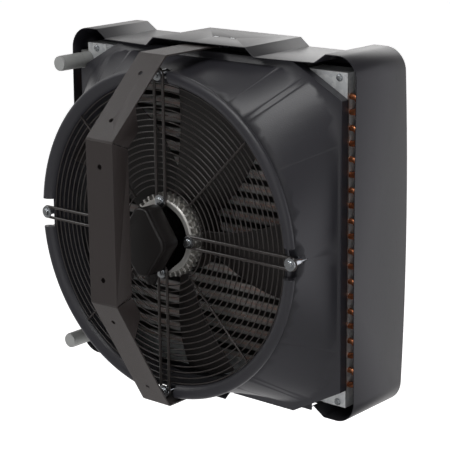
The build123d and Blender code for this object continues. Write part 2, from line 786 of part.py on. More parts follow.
def pan_screws(places, head_y, shank_radius, shank_length, head_radius, head_height):
    """Pan-head screws whose heads sit on head_y and whose shanks point into the room."""
    with BuildPart() as screws:
        for x, z in places:
            with BuildSketch(facing_wall(head_y, x, z)):
                Circle(head_radius)
            extrude(amount=head_height, taper=14)
            with BuildSketch(facing_wall(head_y, x, z)):
                Circle(shank_radius)
            extrude(amount=-shank_length)
            with BuildSketch(facing_wall(head_y + head_height * 0.35, x, z)):
                Rectangle(head_radius * 1.1, 1.3)
                Rectangle(1.3, head_radius * 1.1)
            extrude(amount=head_height, mode=Mode.SUBTRACT)
    return screws


def rings(places, back_y, outer, inner, thickness):
    """Flat rings that start at back_y and reach towards the wall by thickness."""
    with BuildPart() as made:
        for x, z in places:
            with BuildSketch(facing_wall(back_y, x, z)):
                Circle(outer)
                Circle(inner, mode=Mode.SUBTRACT)
            extrude(amount=thickness)
    return made


guard_places = radial_places(guard_bolt_reach)
motor_places = radial_places(motor_bolt_reach)
head_y = arm_rear_y - washer_thickness
bolt_length = notch_floor_y + 18 - head_y
save(pan_screws(guard_places, head_y, guard_bolt_radius - 0.1, bolt_length, 6.2, 4.2), "guard_bolts")
save(rings(guard_places, arm_rear_y, washer_radius, guard_bolt_radius, washer_thickness), "guard_washers")
save(rings(guard_places, notch_floor_y, spacer_radius, guard_bolt_radius, notch_floor_y - arm_rear_y),
     "guard_spacers")
motor_bolt_length = cooling_ring_depth - 2 + arm_front_y - head_y
save(pan_screws(motor_places, head_y, guard_bolt_radius - 0.1, motor_bolt_length, 6.2, 4.2), "motor_bolts")
save(rings(motor_places, arm_rear_y, washer_radius, guard_bolt_radius, washer_thickness), "motor_washers")

# ============================== motor ==============================
flange_front_y = arm_front_y + motor_flange_thickness
rotor_rear_y = arm_front_y + cooling_ring_depth + running_gap
rotor_front_y = rotor_rear_y + rotor_length
bearing_rear_y = flange_front_y + 2
bearing_front_y = rotor_front_y - rotor_wall - rotor_gap - 2
core_rear_y = flange_front_y + 12
core_front_y = bearing_front_y - 10
with BuildPart() as motor_flange:
    with BuildSketch(facing_wall(flange_front_y)):
        Circle(motor_flange_radius)
    extrude(amount=motor_flange_thickness)
    with BuildSketch(facing_wall(bearing_front_y)):
        Circle(bearing_tube_radius)
    extrude(amount=bearing_front_y - flange_front_y)
    with BuildSketch(facing_wall(bearing_front_y)):
        Circle(bearing_radius)
    extrude(amount=bearing_front_y - bearing_rear_y, mode=Mode.SUBTRACT)
    with BuildSketch(facing_wall(bearing_front_y)):
        Circle(shaft_radius + 2)
    extrude(amount=bearing_front_y - flange_front_y + 4, mode=Mode.SUBTRACT)
    with BuildSketch(facing_wall(arm_front_y)):
        Circle(24)
    extrude(amount=arm_front_y - head_y + 4)
save(motor_flange, "motor_flange")

ring_front_y = arm_front_y + cooling_ring_depth
tooth_reach = (cooling_ring_radius + cooling_tooth_tip) / 2 - 1
with BuildPart() as cooling_ring:
    with BuildSketch(facing_wall(ring_front_y)):
        Circle(cooling_ring_radius)
        with Locations(*motor_places):
            Circle(8)
        Circle(motor_flange_radius, mode=Mode.SUBTRACT)
    extrude(amount=cooling_ring_depth)
    with BuildSketch(facing_wall(ring_front_y)):
        with PolarLocations(tooth_reach, cooling_tooth_count):
            Rectangle(cooling_tooth_tip - cooling_ring_radius + 2, 3.4)
    extrude(amount=cooling_ring_depth - 3)
    chamfer(cooling_ring.edges().filter_by(GeomType.CIRCLE).group_by(Axis.Y)[0].sort_by(
        SortBy.RADIUS)[-1], 2.5)
    with BuildSketch(facing_wall(arm_front_y)):
        with Locations(*motor_places):
            Circle(guard_bolt_radius)
    extrude(amount=-cooling_ring_depth - 1, mode=Mode.SUBTRACT)
save(cooling_ring, "cooling_ring")

centre = [(0, 0)]
for name, back in (("bearing_rear", bearing_rear_y + bearing_width), ("bearing_front", bearing_front_y)):
    save(rings(centre, back, bearing_radius, shaft_radius + shaft_clearance, bearing_width), name)
core_depth = core_front_y - core_rear_y
save(rings(centre, core_front_y, core_radius, bearing_tube_radius, core_depth), "stator_core")
with BuildPart() as stator_windings:
    for face_y, step in ((core_rear_y, 1), (core_front_y, -1)):
        with BuildSketch(facing_wall(face_y)):
            Circle(core_radius - 6)
            Circle(bearing_tube_radius + 4, mode=Mode.SUBTRACT)
        extrude(amount=step * 8)
save(stator_windings, "stator_windings")

rotor_inner = core_radius + air_gap
with BuildPart() as rotor_can:
    with BuildSketch(facing_wall(rotor_front_y)):
        Circle(rotor_radius)
    extrude(amount=rotor_length)
    with BuildSketch(facing_wall(rotor_front_y - rotor_wall)):
        Circle(rotor_radius - rotor_wall)
    extrude(amount=rotor_length, mode=Mode.SUBTRACT)
    with BuildSketch(facing_wall(rotor_front_y + 1)):
        Circle(shaft_radius)
    extrude(amount=rotor_wall + 2, mode=Mode.SUBTRACT)
    with BuildSketch(facing_wall(rotor_rear_y + tooth_depth)):
        with PolarLocations(rotor_radius + tooth_height / 2 - 0.5, tooth_count):
            Rectangle(tooth_height + 1, 3.2)
    extrude(amount=tooth_depth)
save(rotor_can, "rotor_can")
save(rings(centre, core_front_y, rotor_radius - rotor_wall, rotor_inner, core_depth), "rotor_cage")
with BuildPart() as motor_shaft:
    with BuildSketch(facing_wall(rotor_front_y)):
        Circle(shaft_radius)
    extrude(amount=rotor_front_y - bearing_rear_y - 1)
save(motor_shaft, "motor_shaft")

# ============================== impeller ==============================
blade_foot = rotor_radius + blade_ring_wall + 0.1
impeller_y = rotor_front_y - blade_root_depth / 2 + 4
# reach along the blade, chord, pitch from the fan's plane, sickle offset
blade_sections = (
    (blade_foot - 13, 78.0, 42.0, 0.0),
    (125.0, 112.0, 29.0, -4.0),
    (185.0, 142.0, 21.0, -20.0),
    (blade_tip_radius + 6, 172.0, 15.0, -58.0),
)
with BuildPart() as blade:
    for reach, chord, pitch, offset_along in blade_sections:
        tilt = radians(pitch)
        along = (cos(tilt), sin(tilt), 0)
        origin = (offset_along * cos(tilt), wall_gap + impeller_y, fan_z + reach)
        with BuildSketch(Plane(origin=origin, x_dir=along, z_dir=(0, 0, 1))):
            SlotOverall(chord, blade_thickness)
    loft()
    with BuildSketch(facing_wall(impeller_y + 70)):
        Circle(blade_tip_radius)
    extrude(amount=140, mode=Mode.INTERSECT)

with BuildPart() as fan_blades:
    with BuildSketch(facing_wall(rotor_front_y)):
        Circle(blade_foot)
        Circle(rotor_radius + 0.1, mode=Mode.SUBTRACT)
    extrude(amount=blade_root_depth)
    blade_turns = [first_blade_turn + 360 / blade_count * n for n in range(blade_count)]
    for copy in around_fan(blade.part, blade_turns):
        add(copy)
    with BuildSketch(facing_wall(impeller_y + 60)):
        Circle(rotor_radius + 0.1)
    extrude(amount=120, mode=Mode.SUBTRACT)
save(fan_blades, "fan_blades")

# ============================== terminal box ==============================
box_front_y = head_y - 4 - 4.5
box_rear_y = box_front_y - box_depth
lid_rear_y = box_rear_y - box_lid_depth


def box_outline(inset):
    """Six-sided outline with rounded corners, its points to the left and right."""
    width = box_half_width - inset
    height = box_half_height - inset
    with BuildSketch() as outline:
        with BuildLine():
            Polyline((width, 0), (box_top_half_width, height), (-box_top_half_width, height), (-width, 0),
                     (-box_top_half_width, -height), (box_top_half_width, -height), close=True)
        make_face()
        fillet(outline.vertices(), 14 - inset)
    return outline.sketch


box_screw_x = 12.0 - box_half_width
box_screw_places = [(box_screw_x, -9.0), (box_screw_x, 9.0)]
with BuildPart() as terminal_box_base:
    with BuildSketch(facing_wall(box_front_y)):
        add(box_outline(0))
    extrude(amount=box_depth)
    with BuildSketch(facing_wall(box_front_y - box_wall)):
        add(box_outline(box_wall))
    extrude(amount=box_depth, mode=Mode.SUBTRACT)
    with BuildSketch(facing_wall(box_front_y - 1)):
        with Locations(*box_screw_places):
            Circle(4)
    extrude(amount=box_depth - 1)
    with BuildSketch(facing_wall(box_rear_y)):
        with Locations(*box_screw_places):
            Circle(1.5)
    extrude(amount=-14, mode=Mode.SUBTRACT)
    with BuildSketch(facing_wall(head_y - 4)):
        Circle(22)
    extrude(amount=5)
    with BuildSketch(facing_wall(head_y)):
        Circle(5)
    extrude(amount=14, mode=Mode.SUBTRACT)
    with BuildSketch(seen_from_above(-box_half_height - 1)):
        with Locations((0, box_front_y - box_depth / 2)):
            Circle(gland_radius - 3)
    extrude(amount=box_wall + 3, mode=Mode.SUBTRACT)
save(terminal_box_base, "terminal_box_base")

with BuildPart() as terminal_box_lid:
    with BuildSketch(facing_wall(box_rear_y)):
        add(box_outline(-1.5))
    extrude(amount=box_lid_depth)
    fillet(terminal_box_lid.edges().group_by(Axis.Y)[0], 4)
    with BuildSketch(facing_wall(box_rear_y)):
        add(box_outline(box_wall))
    extrude(amount=box_lid_depth - box_wall, mode=Mode.SUBTRACT)
    with BuildSketch(facing_wall(box_rear_y)):
        with Locations(*box_screw_places):
            Circle(4)
    extrude(amount=box_lid_depth - box_wall)
    with BuildSketch(facing_wall(lid_rear_y)):
        with Locations(*box_screw_places):
            Circle(1.7)
    extrude(amount=-box_lid_depth, mode=Mode.SUBTRACT)
save(terminal_box_lid, "terminal_box_lid")
save(pan_screws(box_screw_places, lid_rear_y, 1.5, box_lid_depth + 10, 3.2, 2.0), "terminal_box_screws")

with BuildPart() as gland_body:
    with BuildSketch(seen_from_above(-box_half_height)):
        with Locations((0, box_front_y - box_depth / 2)):
            RegularPolygon(gland_radius, 6)
    extrude(amount=-7)
    with BuildSketch(seen_from_above(-box_half_height + box_wall + 2)):
        with Locations((0, box_front_y - box_depth / 2)):
            Circle(gland_radius - 3)
    extrude(amount=-(box_wall + 14))
    with BuildSketch(seen_from_above(-box_half_height + box_wall + 3)):
        with Locations((0, box_front_y - box_depth / 2)):
            Circle(4)
    extrude(amount=-40, mode=Mode.SUBTRACT)
save(gland_body, "gland_body")
with BuildPart() as gland_nut:
    with BuildSketch(seen_from_above(-box_half_height - 7)):
        with Locations((0, box_front_y - box_depth / 2)):
            RegularPolygon(gland_radius, 6)
            Circle(gland_radius - 3, mode=Mode.SUBTRACT)
    extrude(amount=-5)
    with BuildSketch(seen_from_above(-box_half_height - 12)):
        with Locations((0, box_front_y - box_depth / 2)):
            Circle(gland_radius - 1)
            Circle(4, mode=Mode.SUBTRACT)
    extrude(amount=-6, taper=18)
save(gland_nut, "gland_nut")

# ============================== wall bracket ==============================
bracket_line = [
    (pivot_y, bracket_top_z),
    (top_bend_y, bracket_top_z),
    (-wall_gap, upper_knee_z),
    (-wall_gap, lower_knee_z),
    (low_bend_y, bracket_low_z),
    (pivot_y, bracket_low_z),
]


def heading(start, end):
    """Angle of the run from start to end, in radians."""
    return atan2(end[1] - start[1], end[0] - start[0])


def moved_in(line, distance):
    """The line moved to its left by distance, with mitred corners."""
    moved = []
    for n, (y, z) in enumerate(line):
        before = heading(line[max(n - 1, 0)], line[max(n, 1)])
        after = heading(line[min(n, len(line) - 2)], line[min(n + 1, len(line) - 1)])
        middle = (before + after) / 2 if abs(after - before) < pi else (before + after) / 2 + pi
        reach = distance / cos((after - before) / 2)
        moved.append((y - abs(reach) * sin(middle), z + abs(reach) * cos(middle)))
    return moved


def side_flange(start, end, near, far, near_slope, far_slope):
    """Face of one flange on the run from start to end, as long as near and far leave it."""
    turn = heading(start, end)
    along = (cos(turn), sin(turn))
    inward = (-sin(turn), cos(turn))

    def place(run, depth):
        return (start[0] + along[0] * run + inward[0] * depth, start[1] + along[1] * run + inward[1] * depth)

    with BuildSketch() as face:
        with BuildLine():
            Polyline(place(near, 0), place(far, 0), place(far + far_slope * flange_depth, flange_depth),
                     place(near + near_slope * flange_depth, flange_depth), close=True)
        make_face()
        tips = [v for v in face.vertices() if min(
            (v.X - place(near + near_slope * flange_depth, flange_depth)[0]) ** 2,
            (v.X - place(far + far_slope * flange_depth, flange_depth)[0]) ** 2) < 0.01]
        fillet(tips, 7)
    return face.sketch


def run_length(start, end):
    return ((end[0] - start[0]) ** 2 + (end[1] - start[1]) ** 2) ** 0.5


knee_slit = 1.2
upper_turn = heading(bracket_line[2], bracket_line[3]) - heading(bracket_line[1], bracket_line[2])
upper_turn = abs((upper_turn + pi) % (2 * pi) - pi)
lower_turn = heading(bracket_line[3], bracket_line[4]) - heading(bracket_line[2], bracket_line[3])
lower_turn = abs((lower_turn + pi) % (2 * pi) - pi)
upper_slant = run_length(bracket_line[1], bracket_line[2])
post_run = run_length(bracket_line[2], bracket_line[3])
flange_faces = [
    side_flange(bracket_line[1], bracket_line[2], upper_slant - flange_run_out, upper_slant - knee_slit,
                0.75, -tan(upper_turn / 2)),
    side_flange(bracket_line[2], bracket_line[3], knee_slit, post_run - knee_slit,
                tan(upper_turn / 2), -tan(lower_turn / 2)),
    side_flange(bracket_line[3], bracket_line[4], knee_slit, flange_run_out, tan(lower_turn / 2), -0.75),
]

slant_holes = []
for first, second in ((1, 2), (2, 1), (3, 4), (4, 3)):
    turn = heading(bracket_line[first], bracket_line[second])
    slant_holes.append((bracket_line[first][0] + cos(turn) * slant_hole_offset,
                        bracket_line[first][1] + sin(turn) * slant_hole_offset, turn))

with BuildPart() as wall_bracket:
    with BuildSketch(seen_from_right(0)):
        with BuildLine():
            outer = FilletPolyline(*bracket_line, radius=bracket_bend_radius + strip_wall)
            inner = FilletPolyline(*moved_in(bracket_line, strip_wall), radius=bracket_bend_radius)
            Line(outer @ 0, inner @ 0)
            Line(outer @ 1, inner @ 1)
        make_face()
    extrude(amount=strip_half_width, both=True)
    for low in (bracket_low_z, bracket_top_z - strip_wall):
        with BuildSketch(seen_from_above(low)):
            with Locations((0, pivot_y)):
                Circle(strip_half_width)
        extrude(amount=strip_wall)
    for side in (-1, 1):
        with BuildSketch(seen_from_right(side * strip_half_width)):
            for face in flange_faces:
                add(face)
        extrude(amount=-side * strip_wall)
    with BuildSketch(seen_from_above(0)):
        with Locations((0, pivot_y)):
            Circle(pivot_radius + pivot_clearance)
    extrude(amount=bracket_top_z + 5, both=True, mode=Mode.SUBTRACT)
    with BuildSketch(facing_wall(-wall_gap, 0, fan_below_origin)):
        with GridLocations(1, wall_hole_spacing, 1, 2):
            Circle(wall_hole_radius)
    extrude(amount=-strip_wall - 1, mode=Mode.SUBTRACT)
    for y, z, turn in slant_holes:
        with BuildSketch(Plane(origin=(0, wall_gap + y, fan_z + z), x_dir=(1, 0, 0),
                               z_dir=(0, -sin(turn), cos(turn)))):
            Circle(wall_hole_radius - 0.5)
        extrude(amount=strip_wall + 4, both=True, mode=Mode.SUBTRACT)
save(wall_bracket, "wall_bracket")

# ============================== pivots ==============================
plateau_under_z = casing_top_z - casing_wall
recess_under_z = casing_bottom_z + casing_recess
arm_top_under_z = bracket_top_z - strip_wall
arm_low_over_z = bracket_low_z + strip_wall


def level_ring(low, high, outer, inner):
    """A flat ring about the pivots' axis, from height low to height high."""
    with BuildPart() as ring:
        with BuildSketch(seen_from_above(low)):
            with Locations((0, pivot_y)):
                Circle(outer)
                Circle(inner, mode=Mode.SUBTRACT)
        extrude(amount=high - low)
    return ring.part


upper_washer_z = arm_top_under_z - pivot_face_gap
lower_washer_z = bracket_low_z - pivot_face_gap
with BuildPart() as pivot_washers:
    for under in (upper_washer_z, lower_washer_z):
        add(level_ring(under - washer_thickness, under, pivot_washer_radius, pivot_radius + 0.2))
save(pivot_washers, "pivot_washers")

upper_head_z = upper_washer_z - washer_thickness - pivot_head_height
lower_head_z = lower_washer_z - washer_thickness - pivot_head_height
with BuildPart() as pivot_bolts:
    for head_z, end_z in ((upper_head_z, plateau_under_z - 0.3), (lower_head_z, coil_bottom_z - 1)):
        with BuildSketch(seen_from_above(head_z)):
            with Locations((0, pivot_y)):
                RegularPolygon(pivot_head_radius, 6, major_radius=False)
        extrude(amount=pivot_head_height)
        with BuildSketch(seen_from_above(head_z)):
            with Locations((0, pivot_y)):
                Circle(pivot_radius)
        extrude(amount=end_z - head_z)
save(pivot_bolts, "pivot_bolts")

with BuildPart() as pivot_spacers:
    add(level_ring(bracket_top_z + pivot_face_gap, plateau_under_z - nut_plate_wall,
                   pivot_head_radius - 0.5, pivot_radius + 0.2))
    add(level_ring(arm_low_over_z + pivot_face_gap, recess_under_z, pivot_head_radius - 0.5,
                   pivot_radius + 0.2))
save(pivot_spacers, "pivot_spacers")

plate_half_length = pivot_slot_spacing / 2 + pivot_slot_length / 2 + 3
with BuildPart() as nut_plate_upper:
    with BuildSketch(seen_from_above(plateau_under_z - nut_plate_wall)):
        with Locations((0, pivot_y)):
            RectangleRounded(2 * plate_half_length, 30, 4)
            Circle(pivot_radius, mode=Mode.SUBTRACT)
    extrude(amount=nut_plate_wall)
    with BuildSketch(seen_from_above(plateau_under_z)):
        with Locations((-pivot_slot_spacing / 2, pivot_y), (pivot_slot_spacing / 2, pivot_y)):
            Rectangle(pivot_slot_length - 6, pivot_slot_width - 1)
    extrude(amount=casing_wall)
save(nut_plate_upper, "nut_plate_upper")

with BuildPart() as nut_plate_lower:
    with BuildSketch(seen_from_above(recess_under_z + casing_wall)):
        with Locations((0, pivot_y)):
            RectangleRounded(2 * plate_half_length, 30, 4)
            Circle(pivot_radius, mode=Mode.SUBTRACT)
    extrude(amount=rest_thickness - 1)
save(nut_plate_lower, "nut_plate_lower")
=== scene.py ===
import json
import math

import bmesh
import bpy
from mathutils import Matrix, Vector

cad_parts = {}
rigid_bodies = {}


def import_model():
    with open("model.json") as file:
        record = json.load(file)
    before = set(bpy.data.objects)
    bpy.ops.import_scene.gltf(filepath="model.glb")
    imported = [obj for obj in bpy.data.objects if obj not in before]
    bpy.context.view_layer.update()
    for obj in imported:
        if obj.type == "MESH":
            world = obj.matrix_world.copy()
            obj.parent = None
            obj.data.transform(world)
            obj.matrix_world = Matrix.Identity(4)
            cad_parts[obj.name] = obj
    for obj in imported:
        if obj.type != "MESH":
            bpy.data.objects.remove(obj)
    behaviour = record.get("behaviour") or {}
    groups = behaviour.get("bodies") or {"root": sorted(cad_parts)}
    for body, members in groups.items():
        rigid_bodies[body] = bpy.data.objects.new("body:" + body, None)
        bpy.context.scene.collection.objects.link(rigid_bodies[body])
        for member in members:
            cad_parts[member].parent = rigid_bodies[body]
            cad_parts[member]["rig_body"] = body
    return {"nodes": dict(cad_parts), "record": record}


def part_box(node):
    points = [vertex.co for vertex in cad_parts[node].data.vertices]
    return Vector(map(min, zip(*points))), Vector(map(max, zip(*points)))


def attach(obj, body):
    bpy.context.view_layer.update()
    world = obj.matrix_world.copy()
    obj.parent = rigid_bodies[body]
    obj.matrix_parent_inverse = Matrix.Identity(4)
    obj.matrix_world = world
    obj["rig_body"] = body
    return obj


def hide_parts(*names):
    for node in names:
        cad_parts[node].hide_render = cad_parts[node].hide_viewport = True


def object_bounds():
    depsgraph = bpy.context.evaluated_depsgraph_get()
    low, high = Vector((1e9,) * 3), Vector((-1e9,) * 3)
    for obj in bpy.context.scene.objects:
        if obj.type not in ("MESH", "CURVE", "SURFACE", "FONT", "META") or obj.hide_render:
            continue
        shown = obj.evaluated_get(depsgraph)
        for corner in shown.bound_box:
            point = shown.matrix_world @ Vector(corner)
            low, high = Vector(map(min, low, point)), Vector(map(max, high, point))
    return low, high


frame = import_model()
cad_low, cad_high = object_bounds()
nodes = frame["nodes"]
millimetre = 0.001


# ============================== places taken from the frame ==============================
def body_of_node(node):
    return nodes[node]["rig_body"]


def corners_of(node):
    """The low and high corners of a node's box."""
    low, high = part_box(node)
    return Vector(low), Vector(high)


# the coil's tubes: their pitch, their radius, and the height of the rear row's highest tube
tube_pitch = 25.0 * millimetre
tube_radius = 4.76 * millimetre
first_row_height = corners_of("return_bends_right")[1].z - tube_radius


# ============================== shader maths ==============================
class Value:
    """One socket of a material, so that sums on it add Math nodes."""

    def __init__(self, paint, socket):
        self.paint = paint
        self.socket = socket

    def worked(self, operation, first, second):
        return self.paint.node("ShaderNodeMath", {"operation": operation}, {0: first, 1: second})

    def __add__(self, other):
        return self.worked("ADD", self, other)

    __radd__ = __add__

    def __sub__(self, other):
        return self.worked("SUBTRACT", self, other)

    def __rsub__(self, other):
        return self.worked("SUBTRACT", other, self)

    def __mul__(self, other):
        return self.worked("MULTIPLY", self, other)

    __rmul__ = __mul__

    def between(self, low, high):
        """0 below low, 1 above high, smooth in between."""
        sockets = {"Value": self, "From Min": low, "From Max": high}
        return self.paint.node("ShaderNodeMapRange", {"interpolation_type": "SMOOTHSTEP"}, sockets)


# the Mix node's sockets when it mixes colours
mix_factor, mix_first, mix_second = 0, 6, 7
mix_result = 2


class Paint:
    """A material under construction, with the piece's own coordinates at hand."""

    def __init__(self, name):
        self.material = bpy.data.materials.new(name)
        self.material.use_nodes = True
        self.tree = self.material.node_tree
        self.shader = self.tree.nodes["Principled BSDF"]
        self.place = self.node("ShaderNodeTexCoord", {}, {}, "Object")

    def node(self, kind, settings, inputs, output=0):
        """Any node: its settings first, then its sockets' values or links; returns one output."""
        made = self.tree.nodes.new(kind)
        for key, setting in settings.items():
            setattr(made, key, setting)
        for key, given in inputs.items():
            if isinstance(given, Value):
                self.tree.links.new(given.socket, made.inputs[key])
            else:
                made.inputs[key].default_value = given
        return Value(self, made.outputs[output])

    def stretched(self, x=1.0, y=1.0, z=1.0):
        """The piece's coordinates, scaled along each axis: a high scale draws a pattern out thin."""
        return self.node("ShaderNodeMapping", {}, {"Vector": self.place, "Scale": (x, y, z)})

    def noise(self, scale, detail=4.0, roughness=0.55, distortion=0.0, place=None):
        sockets = {"Vector": place or self.place, "Scale": scale, "Detail": detail,
                   "Roughness": roughness, "Distortion": distortion}
        return self.node("ShaderNodeTexNoise", {}, sockets)

    def cells(self, scale, feature="F1", output="Distance"):
        sockets = {"Vector": self.place, "Scale": scale}
        return self.node("ShaderNodeTexVoronoi", {"feature": feature}, sockets, output)

    def mix(self, factor, first, second):
        """Colour between first and second, which are colours or links."""
        def full(colour):
            return colour if isinstance(colour, Value) else (*colour, 1.0)
        colours = {mix_factor: factor, mix_first: full(first), mix_second: full(second)}
        return self.node("ShaderNodeMix", {"data_type": "RGBA"}, colours, mix_result)

    def grey(self, colour):
        return self.node("ShaderNodeRGBToBW", {}, {"Color": colour})

    def facing(self, axis):
        """How much the surface faces along one axis of the piece, from -1 to 1."""
        normal = self.node("ShaderNodeTexCoord", {}, {}, "Normal")
        return self.node("ShaderNodeSeparateXYZ", {}, {"Vector": normal}, "XYZ".index(axis))

    def along(self, axis):
        return self.node("ShaderNodeSeparateXYZ", {}, {"Vector": self.place}, "XYZ".index(axis))

    def bump(self, height, strength, depth):
        return self.node("ShaderNodeBump", {}, {"Height": height, "Strength": strength, "Distance": depth})

    def finish(self, **sockets):
        """Sets the shader's own sockets; a plain number goes on the socket itself."""
        for key, given in sockets.items():
            name = key.replace("_", " ").title().replace("Ior", "IOR")
            if isinstance(given, Value):
                self.tree.links.new(given.socket, self.shader.inputs[name])
            else:
                self.shader.inputs[name].default_value = given
        return self.material


# ============================== finishes ==============================
def casing_coat():
    """Dark satin stove enamel with a fine orange peel, faint dust and light rubs."""
    paint = Paint("casing_satin_enamel")
    peel = paint.noise(900, 3, 0.5)
    cloud = paint.noise(5, 3, 0.6)
    rub = paint.noise(60, 6, 0.7, 0.4, paint.stretched(1, 4, 1))
    dust = (paint.facing("Z").between(0.3, 1.0) * cloud.between(0.35, 0.7)) * 0.3
    base = paint.mix(cloud, (0.0095, 0.0090, 0.0125), (0.0145, 0.0138, 0.0180))
    worn = paint.mix(rub.between(0.66, 0.8) * 0.2, base, (0.03, 0.03, 0.034))
    colour = paint.mix(dust, worn, (0.05, 0.05, 0.05))
    rough = 0.34 + 0.06 * cloud + 0.08 * rub.between(0.5, 0.8)
    normal = paint.bump(peel, 0.10, 0.0004)
    return paint.finish(base_color=colour, roughness=rough, normal=normal, coat_weight=0.15,
                        coat_roughness=0.25)


def bracket_coat():
    """Warm grey-brown fine-texture powder coat."""
    paint = Paint("bracket_powder_coat")
    grain = paint.noise(1400, 2, 0.6)
    fleck = paint.cells(1600)
    cloud = paint.noise(9, 4, 0.6)
    scuff = paint.noise(90, 7, 0.75, 0.6, paint.stretched(5, 1, 1))
    base = paint.mix(cloud, (0.0230, 0.0170, 0.0165), (0.0300, 0.0230, 0.0225))
    flecked = paint.mix(fleck.between(0.05, 0.5) * 0.5, (0.036, 0.030, 0.029), base)
    colour = paint.mix(scuff.between(0.68, 0.82) * 0.25, flecked, (0.07, 0.063, 0.06))
    rough = 0.40 + 0.12 * grain + 0.06 * cloud
    normal = paint.bump(grain + 0.6 * fleck, 0.25, 0.0005)
    return paint.finish(base_color=colour, roughness=rough, normal=normal, specular_ior_level=0.55)


def cowl_plastic():
    """Dark blue-grey moulded plastic with an eroded grain and a satin sheen."""
    paint = Paint("cowl_moulded_plastic")
    grain = paint.cells(620, "SMOOTH_F1")
    pit = paint.noise(1500, 3, 0.6)
    flow = paint.noise(7, 3, 0.55, 0.8)
    base = paint.mix(flow, (0.0220, 0.0215, 0.0265), (0.0300, 0.0295, 0.0355))
    speck = paint.mix(pit.between(0.58, 0.75) * 0.6, base, (0.065, 0.065, 0.076))
    colour = paint.mix(paint.noise(35, 5, 0.7).between(0.6, 0.8) * 0.12, speck, (0.05, 0.05, 0.052))
    rough = 0.33 + 0.10 * pit + 0.06 * flow
    normal = paint.bump(grain + 0.5 * pit, 0.22, 0.0006)
    return paint.finish(base_color=colour, roughness=rough, normal=normal, specular_ior_level=0.6)


def black_plastic():
    """Near-black glass-filled plastic with a fine spark-eroded grain."""
    paint = Paint("black_box_plastic")
    grain = paint.noise(1700, 3, 0.6)
    cloud = paint.noise(18, 3, 0.6)
    colour = paint.mix(cloud, (0.0065, 0.0052, 0.0052), (0.011, 0.009, 0.009))
    rough = 0.34 + 0.14 * grain
    return paint.finish(base_color=colour, roughness=rough, normal=paint.bump(grain, 0.25, 0.0004))


def galvanised():
    """Hot-dip galvanised sheet: large pale spangles, each with its own shine."""
    paint = Paint("galvanised_sheet")
    spangle = paint.grey(paint.cells(150, output="Color"))
    edge = paint.cells(150, "DISTANCE_TO_EDGE")
    streak = paint.noise(45, 5, 0.7, 0.3, paint.stretched(1, 1, 0.15))
    base = paint.mix(spangle, (0.56, 0.58, 0.60), (0.78, 0.79, 0.79))
    colour = paint.mix(streak.between(0.55, 0.8) * 0.35, base, (0.42, 0.43, 0.43))
    rough = 0.36 + 0.16 * spangle + 0.08 * streak
    normal = paint.bump(spangle + edge.between(0.0, 0.05), 0.08, 0.0003)
    return paint.finish(base_color=colour, roughness=rough, metallic=0.45, normal=normal)


def zinc_plate():
    """Bright zinc plating with a cool passivate bloom and turning marks."""
    paint = Paint("bright_zinc_plate")
    bloom = paint.noise(240, 4, 0.6)
    lathe = paint.noise(2600, 2, 0.5, 0.0, paint.stretched(1, 0.05, 1))
    colour = paint.mix(bloom, (0.62, 0.66, 0.70), (0.82, 0.84, 0.86))
    rough = 0.14 + 0.12 * bloom + 0.06 * lathe
    return paint.finish(base_color=colour, roughness=rough, metallic=1.0,
                        normal=paint.bump(lathe, 0.06, 0.0002))


def guard_wire():
    """Dull nickel-plated steel wire, a little darker where it is dusty."""
    paint = Paint("guard_wire_plate")
    patch = paint.noise(120, 4, 0.65)
    draw = paint.noise(2200, 2, 0.5)
    colour = paint.mix(patch, (0.020, 0.0165, 0.0160), (0.042, 0.036, 0.034))
    rough = 0.20 + 0.14 * patch + 0.05 * draw
    return paint.finish(base_color=colour, roughness=rough, metallic=0.0,
                        normal=paint.bump(draw, 0.08, 0.0002),
                        coat_weight=0.5, coat_roughness=0.15)


def fin_aluminium():
    """Thin fin stock, with painted light in bands along each tube row and painted shade on the stock between
    the rows.
    """
    paint = Paint("fin_stock_aluminium")
    # painted light and shade: a band along each tube row gets the fin's bright colour, the stock between the
    # rows a near-black painted shade
    row = paint.node("ShaderNodeMath", {"operation": "PINGPONG"},
                     {0: paint.along("Z") - (first_row_height + tube_pitch / 2), 1: tube_pitch / 2})
    painted_row_light = row.between(tube_pitch * 0.15, tube_pitch * 0.27)
    band = paint.noise(90, 3, 0.6, 0.0, paint.stretched(6, 1, 0.4))
    dust = paint.noise(26, 5, 0.7)
    bright = paint.mix(band, (0.84, 0.84, 0.84), (0.96, 0.96, 0.96))
    # the near-black first colour is painted shade between the tube rows; the second is the fin's lit colour
    base = paint.mix(painted_row_light, (0.030, 0.027, 0.026), bright)
    colour = paint.mix(dust.between(0.5, 0.75) * 0.2, base, (0.30, 0.29, 0.28))
    rough = 0.42 + 0.18 * dust
    return paint.finish(base_color=colour, roughness=rough, metallic=0.35,
                        normal=paint.bump(band, 0.1, 0.0003))


def copper_tube():
    """Drawn copper, heat-tinted and browned where the bends were brazed."""
    paint = Paint("drawn_copper")
    tarnish = paint.noise(55, 5, 0.65, 0.5)
    fine = paint.noise(800, 3, 0.6)
    base = paint.mix(tarnish.between(0.3, 0.7), (0.66, 0.27, 0.13), (0.40, 0.13, 0.06))
    colour = paint.mix(fine.between(0.6, 0.8) * 0.3, base, (0.75, 0.42, 0.27))
    rough = 0.22 + 0.25 * tarnish
    return paint.finish(base_color=colour, roughness=rough, metallic=0.95,
                        normal=paint.bump(fine, 0.1, 0.0002))


def cast_aluminium():
    """Die-cast aluminium with a frosted skin."""
    paint = Paint("die_cast_aluminium")
    frost = paint.noise(700, 4, 0.65)
    cloud = paint.noise(40, 3, 0.6)
    colour = paint.mix(cloud, (0.62, 0.60, 0.57), (0.80, 0.79, 0.76))
    rough = 0.34 + 0.2 * frost
    return paint.finish(base_color=colour, roughness=rough, metallic=0.9,
                        normal=paint.bump(frost, 0.3, 0.0004))


